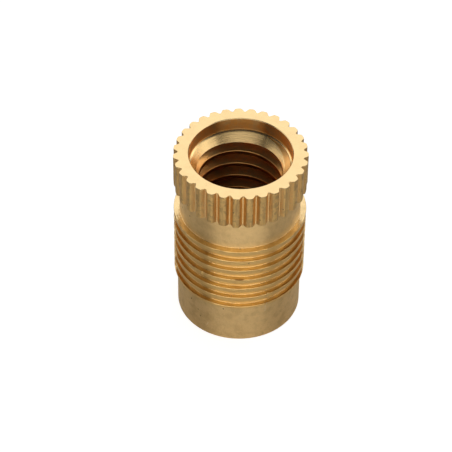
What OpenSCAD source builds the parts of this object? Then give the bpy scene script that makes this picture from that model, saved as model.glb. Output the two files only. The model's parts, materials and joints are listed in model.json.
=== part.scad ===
// A brass insert for an M6 screw, for pressing or moulding into plastic.
// It is turned from one bar: a plain pilot, a body with level ring grooves,
// a relief neck and a straight-knurled head, on a bore with a counterbore.
// It stands on its pilot at z = 0, on the Z axis. Millimetres.

/* [Overall] */
// Height from the pilot's end to the top face
total_h = 12.2; // [10:0.1:16]

/* [Knurled head] */
// Diameter over the knurl's teeth
head_d = 8.1; // [7.9:0.05:10]
// Height of the head
head_h = 2.34; // [1.6:0.02:3.2]
// Number of teeth round the head
tooth_n = 31; // [24:1:36]
// Depth of the valleys between the teeth
valley_depth = 0.27; // [0.15:0.01:0.35]
// Width of the flat at the bottom of a valley
valley_flat = 0.08; // [0.04:0.01:0.12]
// Angle between the two sides of a valley
valley_angle = 74; // [60:1:84]
// Turn of the first valley from the X axis
valley_turn = -87.9; // [-90:0.1:90]

/* [Relief neck] */
// Diameter of the neck
neck_d = 7.36; // [6.4:0.02:7.6]
// Height of the neck, from the ringed body to the head
neck_h = 2.017; // [0.6:0.001:2.6]

/* [Ringed body] */
// Diameter over the rings
ring_d = 8.1; // [7.9:0.05:10]
// Distance from one groove to the next
ring_pitch = 0.783; // [0.65:0.001:1]
// Depth of the grooves
groove_depth = 0.29; // [0.1:0.01:0.32]
// Width of the flat at the bottom of a groove
groove_flat = 0.459; // [0.2:0.001:0.55]
// Angle between the two sides of a groove, nearly square
groove_angle = 5; // [0:1:30]
// Height of the lowest ring, below the first groove
lowest_ring_h = 0.165; // [0.1:0.005:0.4]

/* [Pilot] */
// Diameter of the pilot
pilot_d = 7.68; // [7.2:0.02:7.9]
// Height of the pilot
pilot_h = 2.98; // [1:0.01:3.6]
// Bevel round the pilot's lower edge
pilot_bevel = 0.05; // [0.02:0.01:0.3]

/* [Bore] */
// Diameter of the bore, at the crests of the M6 thread
bore_d = 5; // [4.9:0.01:5.2]
// Bevel where the bore opens through the pilot's end
exit_bevel = 0.4; // [0.1:0.05:0.7]
// Height of the cone between the bore and the counterbore's wall
cone_h = 0.58; // [0.3:0.01:1]
// Diameter of the counterbore
counterbore_d = 6.24; // [6.04:0.02:6.8]
// Height of the counterbore's wall
counterbore_h = 0.81; // [0.4:0.01:1.5]
// Bevel round the counterbore's mouth
mouth_bevel = 0.04; // [0.02:0.01:0.15]

/* [Hidden] */
// Segments round a full turn
$fn = 180;
// How far a cutter reaches past the face that it cuts
over = 0.2;

head_r = head_d / 2;
ring_r = ring_d / 2;
neck_r = neck_d / 2;
pilot_r = pilot_d / 2;
bore_r = bore_d / 2;
counterbore_r = counterbore_d / 2;

// Undersides of the head and of the neck, above the pilot's end
head_z = total_h - head_h;
ledge_z = head_z - neck_h;
ring_body_h = ledge_z - pilot_h;

// A groove's side in height, its mouth, and how many fit below the ledge
groove_side_h = groove_depth * tan(groove_angle / 2);
groove_mouth = groove_flat + 2 * groove_side_h;
groove_n = floor((ring_body_h - lowest_ring_h + 0.001) / ring_pitch);

// Outline of one groove, its lower mouth corner at the origin
module groove_outline() {
    polygon([
        [over, 0],
        [0, 0],
        [-groove_depth, groove_side_h],
        [-groove_depth, groove_side_h + groove_flat],
        [0, groove_mouth],
        [over, groove_mouth]
    ]);
}

// Half section of the blank: core, pilot, ringed body and head
module blank_section() {
    square([neck_r, total_h]);
    polygon([
        [0, 0],
        [pilot_r - pilot_bevel, 0],
        [pilot_r, pilot_bevel],
        [pilot_r, pilot_h],
        [0, pilot_h]
    ]);
    difference() {
        translate([0, pilot_h])
            square([ring_r, ring_body_h]);
        // Each groove has a ring above it; the highest ring's top is the ledge
        for (i = [0 : groove_n - 1])
            translate([ring_r, pilot_h + lowest_ring_h + i * ring_pitch])
                groove_outline();
    }
    translate([0, head_z])
        square([head_r, head_h]);
}

// Half section of the stepped bore, open at both ends
module bore_section() {
    floor_z = total_h - counterbore_h;
    polygon([
        [0, -over],
        [bore_r + exit_bevel, -over],
        [bore_r + exit_bevel, 0],
        [bore_r, exit_bevel],
        [bore_r, floor_z - cone_h],
        [counterbore_r, floor_z],
        [counterbore_r, total_h - mouth_bevel],
        [counterbore_r + mouth_bevel, total_h],
        [counterbore_r + mouth_bevel, total_h + over],
        [0, total_h + over]
    ]);
}

// The turned insert before its head is knurled
module turned_insert() {
    rotate_extrude()
        difference() {
            blank_section();
            bore_section();
        }
}

// One knurl valley, from below the head to above it, on the X axis
module knurl_valley() {
    reach = valley_depth + over;
    half_flat = valley_flat / 2;
    half_mouth = half_flat + reach * tan(valley_angle / 2);
    translate([head_r - valley_depth, 0, head_z - over])
        linear_extrude(head_h + 2 * over)
            polygon([
                [0, -half_flat],
                [reach, -half_mouth],
                [reach, half_mouth],
                [0, half_flat]
            ]);
}

module insert() {
    color([0.80, 0.62, 0.34])
        difference() {
            turned_insert();
            for (i = [0 : tooth_n - 1])
                rotate([0, 0, valley_turn + i * 360 / tooth_n])
                    knurl_valley();
        }
}

insert();
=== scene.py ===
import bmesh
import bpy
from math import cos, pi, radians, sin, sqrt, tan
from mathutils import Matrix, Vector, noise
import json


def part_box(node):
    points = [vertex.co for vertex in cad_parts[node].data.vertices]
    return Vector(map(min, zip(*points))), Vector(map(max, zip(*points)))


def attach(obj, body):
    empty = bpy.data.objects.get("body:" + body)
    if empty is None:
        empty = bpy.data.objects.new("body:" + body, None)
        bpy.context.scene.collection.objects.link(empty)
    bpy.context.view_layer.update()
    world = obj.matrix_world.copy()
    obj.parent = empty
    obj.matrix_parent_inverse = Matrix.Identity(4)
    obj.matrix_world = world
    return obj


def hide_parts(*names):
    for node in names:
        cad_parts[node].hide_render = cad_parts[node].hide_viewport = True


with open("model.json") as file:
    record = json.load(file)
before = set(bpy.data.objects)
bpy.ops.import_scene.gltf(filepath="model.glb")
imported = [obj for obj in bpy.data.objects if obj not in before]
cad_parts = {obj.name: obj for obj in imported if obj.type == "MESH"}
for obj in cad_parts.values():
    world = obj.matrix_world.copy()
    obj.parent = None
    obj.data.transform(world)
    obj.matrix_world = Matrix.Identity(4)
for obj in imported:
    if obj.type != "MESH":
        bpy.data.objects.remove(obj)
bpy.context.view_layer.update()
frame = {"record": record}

# %% [markdown]
# # A brass threaded insert
# The object is one small turned part, 12.2 mm high. It is pressed or moulded into plastic, and a
# screw goes into its bore. From the bottom up it has a plain pilot, a body with level ring grooves,
# a thin neck and a knurled head, and an M6 thread runs down its bore.
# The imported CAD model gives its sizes. The CAD bore is plain, and its edges are knife-sharp, so
# this lesson builds the same part again with the thread, worn edges and tool marks. It stays
# within the CAD model's box.

MM = 0.001                      # the scene is in metres, and sizes below are in millimetres
AXIS = Vector((0, 0, 1))
CENTRE = Vector((0, 0, 0))
MERGE = 0.0005                  # points closer than this are one
NEAR = 0.01                     # slack when a point or a face is matched to a radius or a height

# %% Sizes that the CAD model gives
low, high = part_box("insert")
mounts = {mount["name"]: mount for mount in frame["record"]["mounts"]}


def mount_radius(name):
    return mounts[name]["dims"]["r_mm"]


def mount_ends(name):
    """Lowest and highest point of a mount along the bore's axis, in mm."""
    middle = mounts[name]["pos_m"][2] / MM
    half = mounts[name]["dims"]["length_mm"] / 2
    return middle - half, middle + half


total_h = high.z / MM
head_r = high.x / MM
ring_r = mount_radius("ringed_body")
bore_r = mount_radius("screw_thread")
counterbore_r = mount_radius("counterbore")
pilot_h, ledge_z = mount_ends("ringed_body")
exit_bevel, cone_z = mount_ends("screw_thread")
floor_z, mouth_z = mount_ends("counterbore")
print(f"height {total_h:.2f}, head radius {head_r:.2f}, bore radius {bore_r:.2f} mm")

# %% Sizes that the mounts don't say
head_h = 2.34                   # knurled head
neck_r = 3.68                   # relief neck under it
pilot_r, pilot_bevel = 3.84, 0.05
ring_pitch = 0.783              # from one groove to the next
groove_depth, groove_flat, groove_angle = 0.29, 0.459, 5
lowest_ring_h = 0.165
tooth_n, valley_depth, valley_flat, valley_angle = 31, 0.27, 0.08, 74
valley_turn = -87.9             # the first valley, from the X axis

head_z = total_h - head_h
groove_side = groove_depth * tan(radians(groove_angle / 2))
groove_mouth = groove_flat + 2 * groove_side
groove_n = round((ledge_z - pilot_h - lowest_ring_h) / ring_pitch)
root_r = ring_r - groove_depth
print(f"{groove_n} grooves between z {pilot_h:.2f} and {ledge_z:.2f} mm")

# %% [markdown]
# ## The turned section
# A lathe makes every surface but the knurl and the thread, so one half section spun round the axis
# gives them all. A curve with a Screw modifier could do that too. A bmesh wire is used here because
# each corner can then get its own small rounding with a vertex bevel. No edge of turned brass is
# knife-sharp, and it is the rounding that catches the light as a bright line.
#
# The tool leaves a thin raised lip near the upper edge of each ring. It is part of the section, as
# more corners, of which one stands proud by about a hundredth of a millimetre.

# %% Corners of the outside, from the exit bevel up to the head
LIP = 0.012                     # how far the lip on a ring stands proud
LIP_FOOT, LIP_TIP = 0.055, 0.027    # its foot and its tip are this far below the ring's edge
LIP_BACK = 0.020                # the ring's edge is set back from the tip
SHARP, WORN, SOFT = 0.012, 0.022, 0.08    # how much a corner is rounded

outside = [
    (bore_r + exit_bevel, 0, WORN),
    (pilot_r - pilot_bevel, 0, SHARP),
    (pilot_r, pilot_bevel, SHARP),
    (pilot_r, pilot_h, SHARP),
    (ring_r - LIP, pilot_h, WORN),
]
for i in range(groove_n + 1):
    z = pilot_h + lowest_ring_h + i * ring_pitch
    outside += [
        (ring_r - LIP, z - LIP_FOOT, 0),
        (ring_r, z - LIP_TIP, 0),
        (ring_r - LIP_BACK, z, 0),
    ]
    if i < groove_n:
        outside += [
            (root_r, z + groove_side, WORN),
            (root_r, z + groove_side + groove_flat, WORN),
            (ring_r - LIP, z + groove_mouth, WORN),
        ]
outside += [
    (neck_r, ledge_z, WORN),
    (neck_r, head_z, 0),
]

# %% Corners of the bore, from the counterbore's mouth down to the exit bevel
mouth_r = counterbore_r + total_h - mouth_z
CONE_BEND = (3.0, -0.066)       # the cone flattens outside this radius, this far below its rim
inside = [
    (mouth_r, total_h, 0),
    (counterbore_r, mouth_z, SHARP),
    (counterbore_r, floor_z, WORN),
    (CONE_BEND[0], floor_z + CONE_BEND[1], SOFT),
    (bore_r, cone_z, SHARP),
    (bore_r, exit_bevel, SHARP),
    (bore_r + exit_bevel, 0, 0),
]


# %% Helpers: a wire with rounded corners, and its full turn
def add_section(bm, corners, turn):
    """Draws a half section as a wire at one angle, and rounds the corners that have a radius."""
    wire = [bm.verts.new((r, 0, z)) for r, z, _ in corners]
    for pair in zip(wire, wire[1:]):
        bm.edges.new(pair)
    for width in (SHARP, WORN, SOFT):
        soft = [v for v, corner in zip(wire, corners) if corner[2] == width]
        soft = [v for v in soft if v.is_valid and len(v.link_edges) == 2]
        if soft:
            bmesh.ops.bevel(bm, geom=soft, offset=width, offset_type="OFFSET", segments=3,
                            profile=0.5, affect="VERTICES", material=-1)
    bmesh.ops.rotate(bm, verts=bm.verts[:], cent=CENTRE, matrix=Matrix.Rotation(turn, 3, AXIS))
    print(f"section of {len(bm.verts)} points")


def spin_full(bm, steps):
    bmesh.ops.spin(bm, geom=bm.verts[:] + bm.edges[:], cent=CENTRE, axis=AXIS, angle=2 * pi,
                   steps=steps, use_merge=True)


def open_loops(bm, z, tolerance=0.001):
    """Edges with one face, or none, at a height."""
    return [e for e in bm.edges if len(e.link_faces) < 2
            and all(abs(v.co.z - z) < tolerance for v in e.verts)]


# %% [markdown]
# ## The knurl
# A straight knurl is 31 ridges with flat crests, between valleys with sloping sides and a narrow
# floor. It could be cut from the round head with 31 cutters, but a Boolean may leave slivers on
# such thin crests. Here half a tooth is drawn as a wire of a few points, its corners get a vertex
# bevel, it is mirrored, and a spin with duplicates repeats it round the axis. The closed outline is
# then pulled up in rows.

# %% Outline of all teeth
VALLEY_ROUND, CREST_ROUND = 0.03, 0.075
half_pitch = pi / tooth_n
slope = tan(radians(valley_angle / 2))
valley_r = head_r - valley_depth
half_flat = valley_flat / 2

# Where the side of a valley on the X axis meets the head's circle
start = half_flat - slope * valley_r
a, b, c = 1 + slope ** 2, 2 * slope * start, start ** 2 - head_r ** 2
side_x = (-b + sqrt(b * b - 4 * a * c)) / (2 * a)
side_y = start + slope * side_x

teeth = bmesh.new()
points = [(valley_r, 0), (valley_r, half_flat), (side_x, side_y),
          (head_r * cos(half_pitch), head_r * sin(half_pitch))]
wire = [teeth.verts.new((x, y, 0)) for x, y in points]
for pair in zip(wire, wire[1:]):
    teeth.edges.new(pair)
for corner, width in ((wire[1], VALLEY_ROUND), (wire[2], CREST_ROUND)):
    bmesh.ops.bevel(teeth, geom=[corner], offset=width, offset_type="OFFSET", segments=2,
                    profile=0.5, affect="VERTICES", material=-1)
# The crest's middle goes on the X axis, the other half is mirrored, and the tooth is turned back
bmesh.ops.rotate(teeth, verts=teeth.verts[:], cent=CENTRE,
                 matrix=Matrix.Rotation(-half_pitch, 3, AXIS))
bmesh.ops.mirror(teeth, geom=teeth.verts[:] + teeth.edges[:], merge_dist=MERGE, axis="Y")
bmesh.ops.rotate(teeth, verts=teeth.verts[:], cent=CENTRE,
                 matrix=Matrix.Rotation(half_pitch + radians(valley_turn), 3, AXIS))
bmesh.ops.spin(teeth, geom=teeth.verts[:] + teeth.edges[:], cent=CENTRE, axis=AXIS,
               angle=2 * pi * (tooth_n - 1) / tooth_n, steps=tooth_n - 1, use_duplicate=True)
bmesh.ops.remove_doubles(teeth, verts=teeth.verts[:], dist=MERGE)
steps = len(teeth.verts)
print(f"{tooth_n} teeth, {steps} points round the head")

# %% Pull the outline up in rows, so that the sides can be uneven later
HEAD_ROWS = 14
bmesh.ops.translate(teeth, verts=teeth.verts[:], vec=(0, 0, head_z))
rim = teeth.edges[:]
for _ in range(HEAD_ROWS):
    pulled = bmesh.ops.extrude_edge_only(teeth, edges=rim)["geom"]
    rim = [g for g in pulled if isinstance(g, bmesh.types.BMEdge) and len(g.link_faces) == 1]
    moved = [g for g in pulled if isinstance(g, bmesh.types.BMVert)]
    bmesh.ops.translate(teeth, verts=moved, vec=(0, 0, head_h / HEAD_ROWS))
print(f"head sides: {len(teeth.faces)} faces")


# %% Spin the sections and close them to the head
def mesh_of(bm, name):
    mesh = bpy.data.meshes.new(name)
    bm.to_mesh(mesh)
    bm.free()
    return mesh


insert_bm = bmesh.new()
first_turn = radians(valley_turn)
for corners in (outside, inside):
    part = bmesh.new()
    add_section(part, corners, first_turn)
    spin_full(part, steps)
    insert_bm.from_mesh(mesh_of(part, "section"))
insert_bm.from_mesh(mesh_of(teeth, "teeth"))
bmesh.ops.remove_doubles(insert_bm, verts=insert_bm.verts[:], dist=MERGE)
for z in (head_z, total_h):
    bmesh.ops.bridge_loops(insert_bm, edges=open_loops(insert_bm, z))
bmesh.ops.recalc_face_normals(insert_bm, faces=insert_bm.faces[:])
loose = [e for e in insert_bm.edges if len(e.link_faces) != 2]
print(f"blank: {len(insert_bm.faces)} faces, {len(loose)} open edges")

# %% Round the head's two outlines
OUTLINE_ROUND = 0.014
TURNS_OVER = 1                  # an outline's two faces meet at more than this angle, in radians


def head_outline(bm, z):
    """Edges between a flat end of the head and the teeth's sides."""
    found = []
    for e in bm.edges:
        if all(abs(v.co.z - z) < 0.001 and v.co.xy.length > valley_r - NEAR for v in e.verts):
            if len(e.link_faces) == 2 and e.calc_face_angle(0) > TURNS_OVER:
                found.append(e)
    return found


for z in (head_z, total_h):
    bmesh.ops.bevel(insert_bm, geom=head_outline(insert_bm, z), offset=OUTLINE_ROUND,
                    offset_type="OFFSET", segments=2, profile=0.5, affect="EDGES", material=-1)
print(f"with rounded outlines: {len(insert_bm.faces)} faces")

# %% [markdown]
# ## The screw thread
# An M6 thread is a 60-degree groove that climbs 1 mm a turn. The spin operator makes it directly:
# with a `dvec` it moves the section up at each step while it turns. That closed worm is taken from
# the bore with a Boolean, which gives the run-out on the cone and the ends of the crests for
# nothing. A profile swept along a curve would need its ends trimmed by hand.

# %% The worm that cuts the groove
THREAD_PITCH = 1.0
THREAD_ROOT_R = 3.0
THREAD_ROOT_FLAT = 0.125
THREAD_TURN = 180               # at this angle from the front, over the right, ...
THREAD_Z = 10.46                # ... the groove's middle is at this height
STEPS_A_TURN = 120
WORM_LOW, WORM_HIGH = -1.2, 11.85

thread_side = tan(radians(30))
half_root = THREAD_ROOT_FLAT / 2
half_mouth = half_root + (THREAD_ROOT_R - bore_r) * thread_side
reach = 0.1                     # the worm starts this far inside the bore
crest_round = 0.03              # the crests' edges are worn by about this much
root_back, root_lift = 0.02, 0.012    # and the corners at the root are cut off by this much
worm = bmesh.new()
profile = [
    (bore_r - reach, -half_mouth - crest_round),
    (bore_r - 0.001, -half_mouth - crest_round),
    (bore_r + 0.3 * crest_round, -half_mouth - 0.1 * crest_round),
    (bore_r + 1.5 * crest_round, -half_mouth + 1.5 * crest_round * thread_side),
    (THREAD_ROOT_R - root_back, -half_root - root_back * thread_side),
    (THREAD_ROOT_R, -half_root + root_lift),
]
profile += [(r, -z) for r, z in reversed(profile)]
ring = [worm.verts.new((r, 0, z)) for r, z in profile]
for pair in zip(ring, ring[1:] + ring[:1]):
    worm.edges.new(pair)

turns = (WORM_HIGH - WORM_LOW) / THREAD_PITCH
worm_steps = round(turns * STEPS_A_TURN)
# The front of the insert faces -Y, and angles from the front run over +X
thread_angle = radians(THREAD_TURN - 90) + 2 * pi * (WORM_LOW - THREAD_Z) / THREAD_PITCH
bmesh.ops.rotate(worm, verts=worm.verts[:], cent=CENTRE,
                 matrix=Matrix.Rotation(thread_angle, 3, AXIS))
bmesh.ops.translate(worm, verts=worm.verts[:], vec=(0, 0, WORM_LOW))
bmesh.ops.spin(worm, geom=worm.verts[:] + worm.edges[:], cent=CENTRE, axis=AXIS,
               dvec=(0, 0, THREAD_PITCH / STEPS_A_TURN), angle=2 * pi * worm_steps / STEPS_A_TURN,
               steps=worm_steps)
ends = [e for e in worm.edges if len(e.link_faces) == 1]
bmesh.ops.holes_fill(worm, edges=ends, sides=0)
bmesh.ops.recalc_face_normals(worm, faces=worm.faces[:])
loose = [e for e in worm.edges if len(e.link_faces) != 2]
print(f"worm: {len(worm.faces)} faces, {len(loose)} open edges")

# %% Cut the groove
BORE_SLOT = 11                  # the worm's faces carry the bore's finish into the insert
for f in worm.faces:
    f.material_index = BORE_SLOT


def new_object(name, mesh):
    thing = bpy.data.objects.new(name, mesh)
    bpy.context.collection.objects.link(thing)
    return thing


cutter = new_object("worm", mesh_of(worm, "worm"))
blank = new_object("blank", mesh_of(insert_bm, "blank"))
plain = bpy.data.materials.new("plain")
for thing in (cutter, blank):
    for slot in range(BORE_SLOT + 1):
        thing.data.materials.append(plain)
cut = blank.modifiers.new("thread", "BOOLEAN")
cut.operation, cut.object, cut.solver = "DIFFERENCE", cutter, "EXACT"
ready = blank.evaluated_get(bpy.context.evaluated_depsgraph_get())
shape = bpy.data.meshes.new_from_object(ready)
insert = new_object("brass_insert", shape)
for thing in (blank, cutter):
    bpy.data.objects.remove(thing)

bm = bmesh.new()
bm.from_mesh(shape)
SLIVER, STUB = 0.0008, 0.0004   # the Boolean leaves points this close, and edges this short
bmesh.ops.remove_doubles(bm, verts=bm.verts[:], dist=SLIVER)
bmesh.ops.dissolve_degenerate(bm, edges=bm.edges[:], dist=STUB)
loose = [e for e in bm.edges if len(e.link_faces) != 2]
print(f"threaded: {len(bm.faces)} faces, {len(loose)} open edges, {bm.calc_volume():.1f} mm3")

# %% [markdown]
# ## Zones
# Each kind of tool leaves its own finish, so the faces are sorted by where they are: the faced top,
# the turned walls of neck, pilot and rings, the rings' ledges and undersides, the knurl's crests,
# flanks and roots, the cone, the counterbore's wall and the bore. One piece can hold them all,
# because each face of a mesh names its own material.

# %% Sort the faces
CREST_BAND, ROOT_BAND = 0.05, 0.03    # a crest and a root of the knurl reach this far in and out
LEVEL = 0.6                     # a face that points up or down by more than this is a ledge's
(FACED, NECK, PILOT, RINGS, LEDGES, UNDERSIDES, CRESTS, FLANKS, ROOTS, CONED, SUNK,
 BORED) = range(12)
for f in bm.faces:
    centre = f.calc_center_median()
    r, z = centre.xy.length, centre.z
    f.smooth = True
    if f.material_index == BORED:
        continue
    f.material_index = NECK if z > ledge_z else PILOT
    if z > total_h - 2 * NEAR or z > mouth_z and r < mouth_r + NEAR:
        f.material_index = FACED
    elif r > valley_r - 2 * NEAR and z > head_z + NEAR:
        f.material_index = (CRESTS if r > head_r - CREST_BAND else
                            ROOTS if r < valley_r + ROOT_BAND else FLANKS)
    elif r < counterbore_r + NEAR and z > floor_z - 2 * NEAR:
        f.material_index = SUNK
    elif r < bore_r + NEAR:
        f.material_index = BORED
    elif r < counterbore_r + NEAR and z > cone_z - NEAR:
        f.material_index = CONED
    elif pilot_h + NEAR < z < ledge_z + 3 * NEAR:
        f.material_index = (LEDGES if f.normal.z > LEVEL else
                            UNDERSIDES if f.normal.z < -LEVEL else RINGS)
print("faces in each zone:",
      [sum(f.material_index == zone for f in bm.faces) for zone in range(BORED + 1)])

# %% [markdown]
# ## Uneven edges and teeth
# A real knurl isn't 31 copies of one tooth, and the lip on a ring is torn in places. Random numbers
# for each point would look like frost. Perlin noise changes smoothly instead, so a tooth leans or
# swells over its length and a lip rises and fades. The dents are made on purpose: each is a place
# on the outside, given by an angle from the front, a height, a reach and a depth.

# %% Helpers that move points of the outside
def push(v, out, up=0.0):
    """Moves a point away from the axis, and up."""
    away = Vector((v.co.x, v.co.y, 0)).normalized()
    v.co += away * out + Vector((0, 0, up))


def drift(place, size, seed):
    """A smooth random number between about -1 and 1 that changes over `size` mm."""
    return noise.noise(Vector(place) / size + Vector((seed, 0, 0)))


def on_outside(angle, z, r):
    """The point at an angle from the front, which is -Y, over the right."""
    return Vector((r * sin(radians(angle)), -r * cos(radians(angle)), z))


# %% Teeth that differ
SWELL, RIPPLE = 0.022, 0.012    # how far a tooth's side wanders, slowly and quickly
PRESSED = 0.004                 # a crest is pressed down by this much all over
RAGGED_H, RAGGED = 0.05, 0.02   # the tool leaves the lower ends of the teeth ragged
moved = 0
for v in bm.verts:
    r, z = v.co.xy.length, v.co.z
    if r < valley_r - NEAR or z < head_z - 0.1 * NEAR:
        continue
    crest = min(1.0, (r - valley_r) / valley_depth)
    place_on_side = (v.co.x, v.co.y, 0.45 * z)
    shift = SWELL * drift(place_on_side, 0.5, 3) + RIPPLE * drift(v.co, 0.22, 7) * crest
    push(v, min(shift, head_r - r) - PRESSED * crest)
    if z < head_z + RAGGED_H:
        push(v, -RAGGED * crest * (1 + drift(v.co, 0.3, 11)), 0.03 * drift(v.co, 0.35, 13) + 0.012)
    moved += 1
print(f"{moved} points of the knurl moved")

# %% Torn lips on the rings
TORN_OUT, TORN_UP = 0.011, 0.010
moved = 0
for v in bm.verts:
    r, z = v.co.xy.length, v.co.z
    if r < ring_r - 3 * NEAR or not pilot_h + 0.1 < z < ledge_z + 0.1 * NEAR:
        continue
    tear = drift((v.co.x, v.co.y, 3 * z), 0.3, 21) + 0.5 * drift(v.co, 0.12, 23)
    push(v, min(TORN_OUT * tear, head_r - r), TORN_UP * tear)
    moved += 1
print(f"{moved} points of the rings moved")

# %% Dents
DENTS = [                       # angle from the front, then height, reach and depth in mm
    (-20, 6.10, 0.16, 0.05), (19, 6.02, 0.14, 0.05), (38, 6.22, 0.15, 0.045),
    (26, 3.90, 0.12, 0.04), (-33, 5.45, 0.12, 0.04), (7, 4.65, 0.10, 0.03),
    (-55, 7.80, 0.20, 0.06), (-62, 7.80, 0.15, 0.05), (55, 7.80, 0.16, 0.07),
    (44, 7.1, 0.12, 0.04), (-8, 5.5, 0.1, 0.03), (-41, 3.1, 0.12, 0.04),
    (-40, 10.1, 0.14, 0.05), (35, 9.95, 0.14, 0.05), (-13, 11.0, 0.12, 0.03),
    (70, 5.2, 0.2, 0.06), (100, 6.9, 0.2, 0.05), (-110, 6.1, 0.2, 0.06), (150, 4.6, 0.2, 0.05),
    (-160, 7.8, 0.2, 0.06), (12, 2.2, 0.12, 0.02), (-100, 1.2, 0.2, 0.03),
]
for angle, z, reach, depth in DENTS:
    spot = on_outside(angle, z, ring_r)
    for v in bm.verts:
        if v.co.xy.length > neck_r - 0.1:
            far = (v.co - spot).length / reach
            if far < 1:
                push(v, -depth * (1 - far * far) ** 2)
print(f"{len(DENTS)} dents")

# %% Normals, and the change to metres
bm.to_mesh(shape)
bm.free()
shape.set_sharp_from_angle(angle=radians(38))
flat = insert.modifiers.new("flat faces stay flat", "WEIGHTED_NORMAL")
flat.weight, flat.thresh, flat.keep_sharp = 50, 0.001, True
ready = insert.evaluated_get(bpy.context.evaluated_depsgraph_get())
shape = bpy.data.meshes.new_from_object(ready)
insert.modifiers.clear()
insert.data = shape
shape.transform(Matrix.Scale(MM, 4))

# %% [markdown]
# ## Brass, and what the tools leave on it
# Turned brass isn't evenly rough. The tool leaves fine lines round the axis, so a wall is smooth
# along them and rough across them, and a reflection is drawn out into a streak that crosses them.
# The finest lines are closer together than the eye can part, so the shader's anisotropy stands in
# for them, on a tangent that runs round the axis. It shows no lines, and the wider ones are seen, so
# those are in the bump. Node groups keep each effect in one place, and each finish sets its own
# amounts.

# %% Helpers for node groups
def new_group(name, inputs, outputs):
    """An empty node group. An input of None is a vector, and all others are numbers."""
    group = bpy.data.node_groups.new(name, "ShaderNodeTree")
    for title, value in inputs.items():
        kind = "NodeSocketVector" if value is None else "NodeSocketFloat"
        socket = group.interface.new_socket(title, in_out="INPUT", socket_type=kind)
        if value is not None:
            socket.default_value = value
    for title in outputs:
        group.interface.new_socket(title, in_out="OUTPUT", socket_type="NodeSocketFloat")
    return group, group.nodes.new("NodeGroupInput"), group.nodes.new("NodeGroupOutput")


def give(tree, socket, value):
    """Links a socket to an input, or sets the input to a plain value."""
    if isinstance(value, bpy.types.NodeSocket):
        tree.links.new(value, socket)
    elif value is not None:
        socket.default_value = value


def maths(tree, operation, a, b=None):
    """A Math node's result; a and b are sockets or plain numbers."""
    node = tree.nodes.new("ShaderNodeMath")
    node.operation = operation
    give(tree, node.inputs[0], a)
    give(tree, node.inputs[1], b)
    return node.outputs["Value"]


def noise_of(tree, vector, scale, detail=2.0, roughness=0.5, w=None):
    """Noise at a point, or at a point and a fourth number w."""
    node = tree.nodes.new("ShaderNodeTexNoise")
    node.noise_dimensions = "3D" if w is None else "4D"
    for title, value in {"Vector": vector, "Scale": scale, "Detail": detail,
                         "Roughness": roughness}.items():
        give(tree, node.inputs[title], value)
    if w is not None:
        give(tree, node.inputs["W"], w)
    return node.outputs["Fac"]


def ramp(tree, value, low, high, to_low=0.0, to_high=1.0):
    """A value from low to high becomes to_low to to_high, eased at both ends and never beyond."""
    node = tree.nodes.new("ShaderNodeMapRange")
    node.interpolation_type = "SMOOTHSTEP"
    for title, number in {"Value": value, "From Min": low, "From Max": high,
                          "To Min": to_low, "To Max": to_high}.items():
        give(tree, node.inputs[title], number)
    return node.outputs["Result"]


def vector_of(tree, x, y, z):
    node = tree.nodes.new("ShaderNodeCombineXYZ")
    for socket, value in zip(node.inputs, (x, y, z)):
        give(tree, socket, value)
    return node.outputs[0]


def parts_of(tree, vector):
    """The x, y and z of a vector, and its distance from the Z axis."""
    node = tree.nodes.new("ShaderNodeSeparateXYZ")
    give(tree, node.inputs[0], vector)
    x, y, z = node.outputs
    squares = maths(tree, "ADD", maths(tree, "MULTIPLY", x, x), maths(tree, "MULTIPLY", y, y))
    return x, y, z, maths(tree, "SQRT", squares)


# %% [markdown]
# ### Lathe lines
# The lines are a noise that is read in radius and height, which makes rings on walls, faces and
# cones alike. A third and a fourth number, the direction round the axis, change slowly, so a line
# fades and another takes over, as lines from a real tool do. Using the direction and not the angle
# leaves no seam where the angle would jump.

# %% Group: lathe lines
lathe_lines, given, result = new_group(
    "lathe_lines", {"Vector": None, "Lines per mm": 9.0, "Change round": 6.0},
    ("Fine", "Broad"))
t = lathe_lines
x, y, z, radius = parts_of(t, given.outputs["Vector"])
per_mm, change = given.outputs["Lines per mm"], given.outputs["Change round"]
around_x = maths(t, "MULTIPLY", maths(t, "DIVIDE", x, radius), change)
around_y = maths(t, "MULTIPLY", maths(t, "DIVIDE", y, radius), change)
across = vector_of(t, maths(t, "MULTIPLY", radius, per_mm), maths(t, "MULTIPLY", z, per_mm),
                   around_x)
FINE_SCALE, BROAD_SCALE = 2.6, 0.7
give(t, result.inputs["Fine"], noise_of(t, across, FINE_SCALE, 1.0, 0.6, around_y))
give(t, result.inputs["Broad"], noise_of(t, across, BROAD_SCALE, 2.0, 0.6, around_y))
print("lathe_lines:", len(t.nodes), "nodes")

# %% [markdown]
# ### Mottle, specks and streaks
# Handled brass darkens unevenly. Mottle is a soft noise that shifts colour and gloss. Specks are
# rare small pits and dark spots, made from the distance to scattered points, of which only some are
# kept. Streaks are a noise pulled long along the axis, for the knurl, which is pressed in along it.

# %% Group: mottle
mottle, given, result = new_group("mottle", {"Vector": None, "Size in mm": 0.6}, ("Soft", "Grainy"))
t = mottle
size = maths(t, "DIVIDE", 1.0, given.outputs["Size in mm"])
small = maths(t, "MULTIPLY", size, 5.0)
give(t, result.inputs["Soft"], noise_of(t, given.outputs["Vector"], size, 3.0, 0.55))
give(t, result.inputs["Grainy"], noise_of(t, given.outputs["Vector"], small, 2.0, 0.7))
print("mottle:", len(t.nodes), "nodes")

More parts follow.
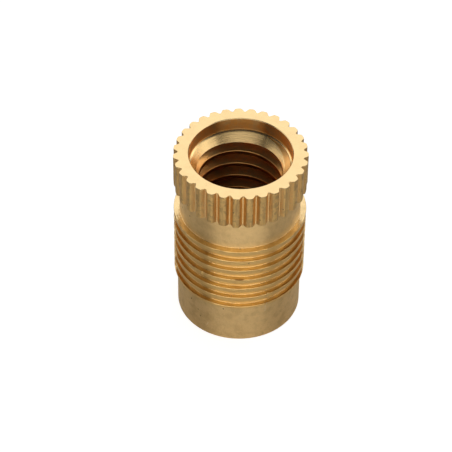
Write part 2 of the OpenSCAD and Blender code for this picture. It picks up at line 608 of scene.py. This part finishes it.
# %% Group: specks
specks, given, result = new_group(
    "specks", {"Vector": None, "Cells per mm": 2.0, "Kept": 0.2, "Reach": 0.12}, ("Specks",))
t = specks
cells = t.nodes.new("ShaderNodeTexVoronoi")
give(t, cells.inputs["Vector"], given.outputs["Vector"])
give(t, cells.inputs["Scale"], given.outputs["Cells per mm"])
wobble = noise_of(t, given.outputs["Vector"], 14.0, 1.0)
edge = maths(t, "MULTIPLY", given.outputs["Reach"], maths(t, "ADD", wobble, 0.5))
near = ramp(t, cells.outputs["Distance"], maths(t, "MULTIPLY", edge, 0.4), edge, 1.0, 0.0)
pick = t.nodes.new("ShaderNodeSeparateColor")
give(t, pick.inputs[0], cells.outputs["Color"])
kept = maths(t, "LESS_THAN", pick.outputs[0], given.outputs["Kept"])
give(t, result.inputs["Specks"], maths(t, "MULTIPLY", near, kept))
print("specks:", len(t.nodes), "nodes")

# %% Group: streaks along the axis
streaks, given, result = new_group(
    "streaks", {"Vector": None, "Streaks per mm": 7.0, "Stretch": 7.0}, ("Streaks", "Scuffs"))
t = streaks
x, y, z, _ = parts_of(t, given.outputs["Vector"])
per_mm = given.outputs["Streaks per mm"]
pulled = vector_of(t, x, y, maths(t, "DIVIDE", z, given.outputs["Stretch"]))
half = vector_of(t, x, y, maths(t, "DIVIDE", z, 2.0))
give(t, result.inputs["Streaks"], noise_of(t, pulled, per_mm, 2.0, 0.6))
give(t, result.inputs["Scuffs"], noise_of(t, half, maths(t, "MULTIPLY", per_mm, 0.6), 3.0, 0.65))
print("streaks:", len(t.nodes), "nodes")

# %% [markdown]
# ### Scratches
# A scratch is a thin line between two heights at an angle from the front. It may lean, which is
# how many degrees it turns in a millimetre of height.

# %% Group: scratch
scratch, given, result = new_group(
    "scratch", {"Vector": None, "Angle from front": 0.0, "Low": 0.0, "High": 1.0, "Lean": 0.0,
                "Width": 0.02}, ("Scratch",))
t = scratch
x, y, z, radius = parts_of(t, given.outputs["Vector"])
turn = maths(t, "ARCTAN2", x, maths(t, "MULTIPLY", y, -1.0))
up = maths(t, "SUBTRACT", z, given.outputs["Low"])
line = maths(t, "ADD", given.outputs["Angle from front"],
             maths(t, "MULTIPLY", up, given.outputs["Lean"]))
off = maths(t, "SUBTRACT", turn, maths(t, "MULTIPLY", line, pi / 180))
off = maths(t, "MULTIPLY", maths(t, "ABSOLUTE", off), radius)
thin = ramp(t, off, 0.0, given.outputs["Width"], 1.0, 0.0)
long = maths(t, "MULTIPLY", maths(t, "GREATER_THAN", up, 0.0),
             maths(t, "LESS_THAN", z, given.outputs["High"]))
give(t, result.inputs["Scratch"], maths(t, "MULTIPLY", thin, long))
print("scratch:", len(t.nodes), "nodes")

# %% [markdown]
# ## The finishes
# All finishes come from one function, with other amounts of the same marks. Base Color runs from a
# clean brass to a browner, duller one, and roughness and a bump of a few thousandths of a
# millimetre do the rest.
#
# The metal is the same all over, but each zone has a clean colour of its own. Brass looks redder
# where light bounces between two walls, as in the bore. The render does that too, and these tints
# go further, so most of them are painted light and shade: darker, redder painted shade in the bore,
# the counterbore, under the rings and on the knurl's flanks, and paler painted light on the faced
# top and on the ledges that face up. They were found by trial, are for the look, and don't say that
# the metal differs.

# %% Colours
CLEAN = (0.90, 0.62, 0.275, 1)
DULL = (0.56, 0.35, 0.14, 1)
DARK = (0.20, 0.105, 0.04, 1)   # specks
# Scratches are real cuts, and their colour, paler than clean brass, is a painted highlight
BRIGHT = (0.98, 0.78, 0.48, 1)  # scratches
# Clean colours of single zones, with the painted light and shade said above
# Painted light: a paler tint for the faced top, which faces up
PALE = (0.90, 0.655, 0.33, 1)
GOLDEN = (0.90, 0.58, 0.21, 1)
# Painted light: a paler tint for the ledges, which face up
LEDGE_LIT_TINT = (0.85, 0.635, 0.33, 1)
# Painted shade: a darker tint for the rings' undersides, which face down
UNDERSIDE_SHADE_TINT = (0.66, 0.39, 0.15, 1)
# Painted shade: a darker tint for the knurl's sloping flanks
AMBER = (0.74, 0.43, 0.15, 1)
# Painted shade: a darker, redder tint inside the counterbore
UMBER = (0.78, 0.35, 0.08, 1)
# Painted shade: a darker, redder tint inside the bore, where light bounces between the walls
REDDISH = (0.80, 0.40, 0.12, 1)


# %% Helpers for materials
def place(tree, group, vector, **amounts):
    """Puts a node group in a material and sets its inputs by name."""
    node = tree.nodes.new("ShaderNodeGroup")
    node.node_tree = group
    give(tree, node.inputs["Vector"], vector)
    for title, value in amounts.items():
        node.inputs[title.replace("_", " ")].default_value = value
    return node


def blend_colour(tree, factor, a, b):
    node = tree.nodes.new("ShaderNodeMix")
    node.data_type = "RGBA"
    give(tree, node.inputs["Factor"], factor)
    for title, value in (("A", a), ("B", b)):
        give(tree, next(i for i in node.inputs if i.name == title and i.type == "RGBA"), value)
    return next(o for o in node.outputs if o.type == "RGBA")


def strongest(tree, masks):
    """The largest of some masks at each point, or None where there are none."""
    most = None
    for mask in masks:
        most = mask if most is None else maths(tree, "MAXIMUM", most, mask)
    return most


def added(tree, terms):
    """The sum of sockets, each times its own number."""
    total = None
    for socket, times in terms:
        term = maths(tree, "MULTIPLY", socket, times)
        total = term if total is None else maths(tree, "ADD", total, term)
    return total


def in_millimetres(tree):
    """Object coordinates, scaled from metres."""
    place_of = tree.nodes.new("ShaderNodeTexCoord")
    to_mm = tree.nodes.new("ShaderNodeMapping")
    to_mm.inputs["Scale"].default_value = (1 / MM, 1 / MM, 1 / MM)
    give(tree, to_mm.inputs["Vector"], place_of.outputs["Object"])
    return to_mm.outputs[0]


def draw_out_gloss(tree, shader, amount):
    """Spreads the gloss across lines that run round the axis, which takes a quarter turn."""
    shader.inputs["Anisotropic"].default_value = amount
    shader.inputs["Anisotropic Rotation"].default_value = 0.25
    around = tree.nodes.new("ShaderNodeTangent")
    around.direction_type, around.axis = "RADIAL", "Z"
    give(tree, shader.inputs["Tangent"], around.outputs[0])


# %% One brass finish
ROUGH_CHANGE = 0.12             # how far mottle changes the roughness
PIT_ROUGH = 0.3                 # how much rougher a speck is
PIT_DEPTH, SCRATCH_DEPTH = 8.0, 8.0    # in micrometres, as the next line
STREAK_H, SCUFF_H = 14.0, 22.0


def brass(name, rough, fine=0.0, broad=0.0, per_mm=9.0, change=6.0, dull=0.15, streak=0.0,
          grain=0.0, speck_share=0.1, mottle_mm=0.6, drawn=0.0, clean=CLEAN, scratches=(),
          blur=0.2):
    """Brass with a base roughness, heights of the lines in micrometres, and shares of marks."""
    material = bpy.data.materials.new(name)
    material.use_nodes = True
    tree = material.node_tree
    shader = tree.nodes["Principled BSDF"]
    shader.inputs["Metallic"].default_value = 1.0
    if drawn:
        draw_out_gloss(tree, shader, drawn)
    at = in_millimetres(tree)
    lines = place(tree, lathe_lines, at, Lines_per_mm=per_mm, Change_round=change)
    spots = place(tree, mottle, at, Size_in_mm=mottle_mm)
    pits = place(tree, specks, at, Kept=speck_share).outputs["Specks"]
    pulls = place(tree, streaks, at) if streak else None
    cuts = strongest(tree, [place(tree, scratch, at, Angle_from_front=angle, Low=low, High=high,
                                  Lean=turns).outputs["Scratch"]
                            for angle, low, high, turns in scratches])
    # Colour: clean to dull by the strongest of the marks, then specks, and scratches whose paler
    # colour is a painted highlight
    shades = [
        ramp(tree, spots.outputs["Soft"], 0.55 - blur, 0.55 + blur, 0.0, min(1.0, 2.2 * dull)),
        ramp(tree, spots.outputs["Grainy"], 0.45, 0.8, 0.0, min(1.0, 1.6 * dull)),
        ramp(tree, lines.outputs["Broad"], 0.55, 0.8, 0.0, min(1.0, 1.5 * dull)),
    ]
    if streak:
        shades.append(ramp(tree, pulls.outputs["Streaks"], 0.42, 0.72, 0.0, streak))
    colour = blend_colour(tree, strongest(tree, shades), clean, DULL)
    colour = blend_colour(tree, pits, colour, DARK)
    if cuts:
        colour = blend_colour(tree, cuts, colour, BRIGHT)
    give(tree, shader.inputs["Base Color"], colour)
    # Roughness: the base, changed by mottle, and more on a speck
    wear = maths(tree, "SUBTRACT", spots.outputs["Soft"], 0.5)
    roughness = maths(tree, "ADD", maths(tree, "MULTIPLY", wear, ROUGH_CHANGE), rough)
    roughness = maths(tree, "ADD", roughness, maths(tree, "MULTIPLY", pits, PIT_ROUGH))
    give(tree, shader.inputs["Roughness"], roughness)
    # Heights in micrometres, added up for one Bump node
    heights = [(lines.outputs["Fine"], fine), (lines.outputs["Broad"], broad), (pits, -PIT_DEPTH)]
    if cuts:
        heights.append((cuts, -SCRATCH_DEPTH))
    if grain:
        heights.append((spots.outputs["Grainy"], grain))
    if streak:
        heights += [(pulls.outputs["Streaks"], STREAK_H), (pulls.outputs["Scuffs"], SCUFF_H)]
    bump = tree.nodes.new("ShaderNodeBump")
    bump.inputs["Distance"].default_value = MM / 1000
    give(tree, bump.inputs["Height"], added(tree, heights))
    give(tree, shader.inputs["Normal"], bump.outputs[0])
    return material


# %% [markdown]
# ### Amounts for each zone
# The list is in the order of the zones. The ledges and the faced top are the smoothest, and the
# neck and the knurl are the roughest. `drawn` is the anisotropy. On turned walls and the cone it
# stands for the tool's lines. A pressed tooth has no lines round the axis, so on the knurl it is
# only for the look. A scratch is an angle, two heights and a lean.

# %% The finishes
finishes = [
    brass("faced_brass", 0.22, fine=1.2, broad=1.5, per_mm=9, dull=0.04, speck_share=0.03,
          clean=PALE),
    brass("neck_brass", 0.46, fine=7, broad=12, per_mm=9, dull=0.16, grain=18, drawn=0.85,
          speck_share=0.2, blur=0.14),
    brass("pilot_brass", 0.40, fine=7, broad=12, per_mm=9, dull=0.22, grain=22, drawn=0.80,
          speck_share=0.3, blur=0.14,
          scratches=[(25, 2.2, 2.98, 0.5), (-31, 0.7, 1.0, 6), (61, 1.6, 2.0, -8)]),
    brass("ring_brass", 0.34, fine=16, broad=16, per_mm=11, change=4, dull=0.08, drawn=0.85,
          clean=GOLDEN, scratches=[(25, 2.98, 3.7, 0.5), (28, 7.35, 7.7, 24)]),
    brass("ledge_brass", 0.17, fine=3, broad=6, per_mm=12, change=4, dull=0.2,
          clean=LEDGE_LIT_TINT),
    brass("underside_brass", 0.30, fine=3, broad=6, per_mm=12, change=4, dull=0.2,
          clean=UNDERSIDE_SHADE_TINT),
    brass("crest_brass", 0.42, dull=0.36, streak=0.9, grain=17, speck_share=0.5, mottle_mm=0.33,
          drawn=0.55, clean=GOLDEN, blur=0.1),
    brass("flank_brass", 0.40, dull=0.3, streak=0.5, grain=14, mottle_mm=0.4, drawn=0.8,
          clean=AMBER, blur=0.1),
    brass("root_brass", 0.45, dull=0.1, grain=10, drawn=0.85),
    brass("cone_brass", 0.25, fine=3, broad=5, per_mm=8, change=3, dull=0.08, drawn=0.6),
    brass("counterbore_brass", 0.36, fine=6, broad=18, per_mm=9, dull=0.35, drawn=0.9,
          clean=UMBER),
    brass("bore_brass", 0.30, fine=4, broad=7, per_mm=9, dull=0.35, clean=REDDISH),
]
for slot, finish in enumerate(finishes):
    shape.materials[slot] = finish
print("finishes:", [m.name for m in shape.materials])

# %% [markdown]
# ## The stage
# A small metal part is mostly what it reflects, so the stage matters as much as the brass. A pale
# round floor gives the walls something even to reflect, as they are seen from above. The floor and
# the world are white only for the camera, through Light Path's Is Camera Ray. The brass reflects
# them as they are lit, which is darker. A floor that is lit until it is white would light the
# insert too strongly from below.

# %% Floor
FLOOR_R = 400 * MM
FLOOR_GREY = 0.60
FLOOR_GLOW = 0.76               # added for the camera, so that the floor is just about white
bm = bmesh.new()
bmesh.ops.create_circle(bm, cap_ends=True, segments=96, radius=FLOOR_R)
floor = new_object("floor", mesh_of(bm, "floor"))
paper = bpy.data.materials.new("pale_floor")
paper.use_nodes = True
tree = paper.node_tree
tree.nodes.clear()
out = tree.nodes.new("ShaderNodeOutputMaterial")
matt = tree.nodes.new("ShaderNodeBsdfDiffuse")
glow = tree.nodes.new("ShaderNodeEmission")
ray = tree.nodes.new("ShaderNodeLightPath")
both = tree.nodes.new("ShaderNodeAddShader")
give(tree, matt.inputs["Color"], (FLOOR_GREY, FLOOR_GREY, FLOOR_GREY, 1))
give(tree, glow.inputs["Strength"],
     maths(tree, "MULTIPLY", ray.outputs["Is Camera Ray"], FLOOR_GLOW))
give(tree, both.inputs[0], matt.outputs[0])
give(tree, both.inputs[1], glow.outputs[0])
give(tree, out.inputs["Surface"], both.outputs[0])
floor.data.materials.append(paper)
print(f"floor {2 * FLOOR_R / MM:.0f} mm across")

# %% World
WORLD_LEVEL = 0.02              # what the insert sees where there is no panel
world = bpy.data.worlds.new("studio")
bpy.context.scene.world = world
world.use_nodes = True
tree = world.node_tree
backdrop = tree.nodes["Background"]
backdrop.inputs["Color"].default_value = (1, 1, 1, 1)
ray = tree.nodes.new("ShaderNodeLightPath")
level = tree.nodes.new("ShaderNodeMapRange")
level.inputs["To Min"].default_value = WORLD_LEVEL
level.inputs["To Max"].default_value = 1.0
give(tree, level.inputs["Value"], ray.outputs["Is Camera Ray"])
give(tree, backdrop.inputs["Strength"], level.outputs[0])

# %% [markdown]
# ### Panels
# Five soft panels stand round the insert with dark gaps between them. Point lamps would give small
# hard sparks, and an even white room would make the brass flat, as its shape shows in where the
# bright turns to dark. A panel's power grows with its area, so that its level stays the same when
# its size changes. None is overhead, so the faced top turns dark when it is seen from straight
# above.

# %% Lights
def soft_panel(name, azimuth, elevation, width, height, level, distance=300):
    """A panel that faces the insert, in mm. Azimuth 0 is behind it, and 90 is to its right."""
    lamp = bpy.data.lights.new(name, "AREA")
    lamp.shape = "RECTANGLE"
    lamp.size, lamp.size_y = width * MM, height * MM
    lamp.energy = level * pi * lamp.size * lamp.size_y
    panel = bpy.data.objects.new(name, lamp)
    bpy.context.collection.objects.link(panel)
    turn, lift = radians(azimuth), radians(elevation)
    spot = Vector((sin(turn) * cos(lift), cos(turn) * cos(lift), sin(lift))) * distance * MM
    panel.location = spot + Vector((0, 0, total_h / 2 * MM))
    panel.rotation_euler = (-spot).to_track_quat("-Z", "Y").to_euler()
    panel.visible_camera = False
    print(f"{name}: {lamp.energy:.3f} W")


soft_panel("back", 2, 44, 640, 172, 1.2)
soft_panel("front", 180, 35, 600, 161, 1.0)
soft_panel("front_low", 180, 8, 600, 63, 5.0)
soft_panel("right", 86, 29, 400, 152, 1.2)
soft_panel("left", 277, 21, 410, 170, 0.8)

# %% [markdown]
# ## The camera
# The camera looks down at the insert from the front, so that the knurl, the grooves and the bore are
# all seen. It has a long lens and stands 12 cm away, so the far rim is only a little smaller than
# the near one.

# %% Camera
CAMERA_PLACE = Vector((-0.8397, -87.140, 90.783))
LOOKS_DOWN, ROLL = 44.1745, 0.6272    # in degrees
cam_data = bpy.data.cameras.new("camera")
cam_data.sensor_width = 36
cam_data.lens = 156.866
cam_data.clip_start, cam_data.clip_end = 5 * MM, 2000 * MM
camera = bpy.data.objects.new("camera", cam_data)
bpy.context.collection.objects.link(camera)
camera.matrix_world = (Matrix.Translation(CAMERA_PLACE * MM)
                       @ Matrix.Rotation(radians(90 - LOOKS_DOWN), 4, "X")
                       @ Matrix.Rotation(radians(ROLL), 4, "Z"))
print(f"camera {(CAMERA_PLACE - Vector((0, 0, total_h / 2))).length:.0f} mm from the insert")
bpy.context.scene.camera = camera
bpy.context.scene.view_settings.view_transform = "Standard"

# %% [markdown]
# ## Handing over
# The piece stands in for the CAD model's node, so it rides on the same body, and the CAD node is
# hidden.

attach(insert, "root")
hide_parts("insert")
import json
